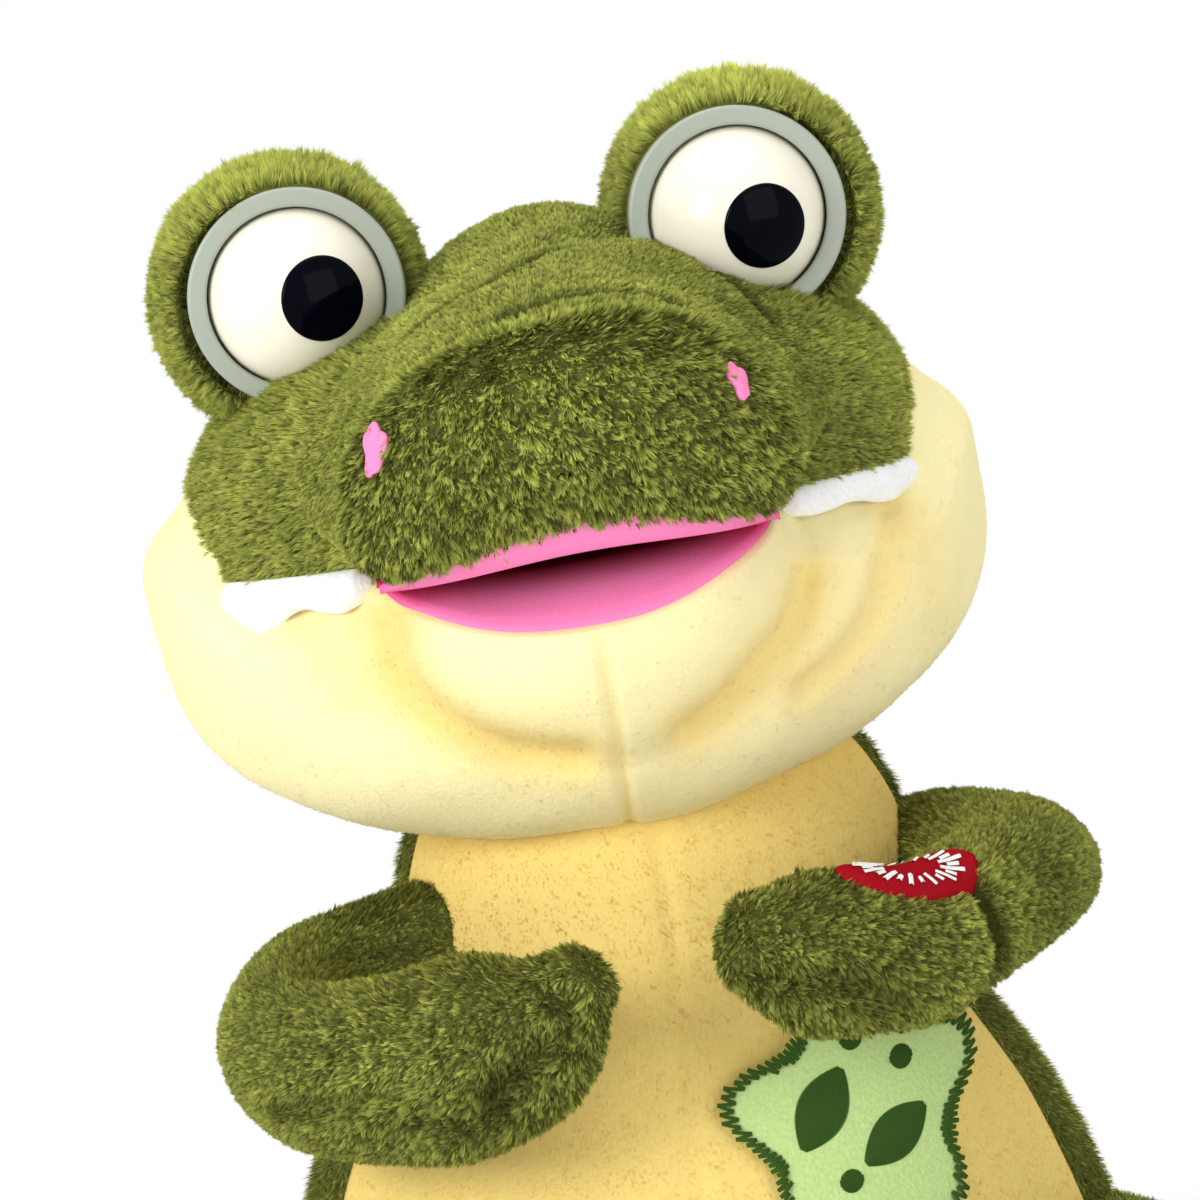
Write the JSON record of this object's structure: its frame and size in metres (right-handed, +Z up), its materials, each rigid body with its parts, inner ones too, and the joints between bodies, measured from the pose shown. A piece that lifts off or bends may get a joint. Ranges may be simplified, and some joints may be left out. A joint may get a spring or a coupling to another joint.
{
  "type": "animated plush toy",
  "caption": "Green plush crocodile toy with goggle eyes, a talking jaw, swinging arms, a stitched belly patch and a hard battery base.",
  "frame": {"origin": "middle of the flat underside of the base plate, below the neck", "axes": "+Z up, the face looks along -Y, +X is the toy's own left"},
  "size_m": [0.2132, 0.2704, 0.285],
  "materials": {
    "green_plush": "short pile plush",
    "yellow_plush": "very short pile plush",
    "pink_fleece": "brushed fleece",
    "white_trim": "soft padded trim",
    "red_patch": "embroidered",
    "belly_felt": "stitched felt",
    "eye_cream": "gloss",
    "pupil_black": "gloss",
    "ring_plastic": "satin",
    "dark_plastic": "fine texture",
    "gear_plastic": "moulded acetal",
    "steel": "plated",
    "copper_coil": "enamelled winding",
    "board": "solder mask",
    "cell_wrap": "printed sleeve"
  },
  "bodies": {
    "body": {"body_back_plush": "green_plush", "belly_plush": "yellow_plush", "belly_patch": "belly_felt", "leg_left_plush": "green_plush", "leg_right_plush": "green_plush", "tail_plush": "green_plush", "base_plate": "dark_plastic", "battery_front": "cell_wrap", "battery_middle": "cell_wrap", "battery_rear": "cell_wrap", "contact_strip_left": "steel", "contact_strip_right": "steel", "speaker": "steel", "gearbox_front": "dark_plastic", "gearbox_back": "dark_plastic", "drive_motor": "steel", "neck_pin": "steel", "arm_pin_left": "steel", "arm_pin_right": "steel", "circuit_board": "board"},
    "door": {"battery_door": "dark_plastic", "door_screw": "steel"},
    "power_knob": {"power_switch_knob": "gear_plastic"},
    "drive_gear": {"drive_pinion": "gear_plastic"},
    "head": {"neck_yoke": "gear_plastic", "skull_frame": "dark_plastic", "head_crown_plush": "green_plush", "cheek_plush": "yellow_plush", "snout_plush": "green_plush", "upper_mouth_lining": "pink_fleece", "nostril_left": "pink_fleece", "nostril_right": "pink_fleece", "tooth_trim_left": "white_trim", "tooth_trim_right": "white_trim", "eye_hood_left": "green_plush", "eye_hood_right": "green_plush", "eye_ring_left": "ring_plastic", "eye_ring_right": "ring_plastic", "eye_coil": "copper_coil", "jaw_motor": "steel", "jaw_pin": "steel"},
    "jaw": {"jaw_plate": "gear_plastic", "jaw_lining": "pink_fleece", "chin_plush": "yellow_plush"},
    "jaw_gear": {"jaw_pinion": "gear_plastic"},
    "eye_left": {"eyeball_left": "eye_cream", "pupil_left": "pupil_black"},
    "eye_right": {"eyeball_right": "eye_cream", "pupil_right": "pupil_black"},
    "eye_link": {"eye_link_bar": "gear_plastic"},
    "arm_left": {"arm_lever_left": "gear_plastic", "arm_left_plush": "green_plush", "press_switch_case": "dark_plastic"},
    "arm_right": {"arm_lever_right": "gear_plastic", "arm_right_plush": "green_plush"},
    "press": {"press_patch": "red_patch", "press_button": "gear_plastic"}
  },
  "joints": [
    {"name": "head_sway", "type": "hinge", "parent": "body", "child": "head", "pos_m": [0, 0, 0.125], "axis": [0, 1, 0], "range_deg": [-7, 7]},
    {"name": "arm_left_swing", "type": "hinge", "parent": "body", "child": "arm_left", "pos_m": [0.03327, 0, 0.118], "axis": [0, 1, 0], "range_deg": [-10, 10]},
    {"name": "arm_right_swing", "type": "hinge", "parent": "body", "child": "arm_right", "pos_m": [-0.03327, 0, 0.118], "axis": [0, 1, 0], "range_deg": [-10, 10]},
    {"name": "drive_spin", "type": "hinge", "parent": "body", "child": "drive_gear", "pos_m": [0, 0, 0.098], "axis": [0, 1, 0], "range_deg": [-20, 20]},
    {"name": "jaw_open", "type": "hinge", "parent": "head", "child": "jaw", "pos_m": [0, -0.008, 0.198], "axis": [1, 0, 0], "range_deg": [-7, 0]},
    {"name": "jaw_pinion_spin", "type": "hinge", "parent": "head", "child": "jaw_gear", "pos_m": [0.0265, 0.013, 0.198], "axis": [1, 0, 0], "range_deg": [0, 17.5]},
    {"name": "eye_left_turn", "type": "hinge", "parent": "head", "child": "eye_left", "pos_m": [0.0425, -0.02, 0.257], "axis": [0, 0, 1], "range_deg": [-36, 4]},
    {"name": "eye_right_turn", "type": "hinge", "parent": "head", "child": "eye_right", "pos_m": [-0.0425, -0.02, 0.257], "axis": [0, 0, 1], "range_deg": [-36, 4]},
    {"name": "eye_link_slide", "type": "slide", "parent": "head", "child": "eye_link", "axis": [1, 0, 0], "range_m": [-0.00109, 0.00984]},
    {"name": "press_push", "type": "slide", "parent": "arm_left", "child": "press", "axis": [-0.3495, 0.2758, -0.8954], "range_m": [0, 0.0015], "stiffness_N_per_m": 300, "springref_m": -0.001},
    {"name": "power_switch_slide", "type": "slide", "parent": "body", "child": "power_knob", "axis": [1, 0, 0], "range_m": [0, 0.003]},
    {"name": "battery_door_lift", "type": "slide", "parent": "body", "child": "door", "axis": [0, 0, -1], "range_m": [0, 0.02]}
  ],
  "couplings": [
    {"joint": "arm_left_swing", "follows": "head_sway", "ratio": -1.4286},
    {"joint": "arm_right_swing", "follows": "head_sway", "ratio": -1.4286},
    {"joint": "drive_spin", "follows": "head_sway", "ratio": -2.8571},
    {"joint": "jaw_pinion_spin", "follows": "jaw_open", "ratio": -2.5},
    {"joint": "eye_left_turn", "follows": "eye_link_slide", "rad_per_m": -63.788},
    {"joint": "eye_right_turn", "follows": "eye_link_slide", "rad_per_m": -63.788}
  ]
}
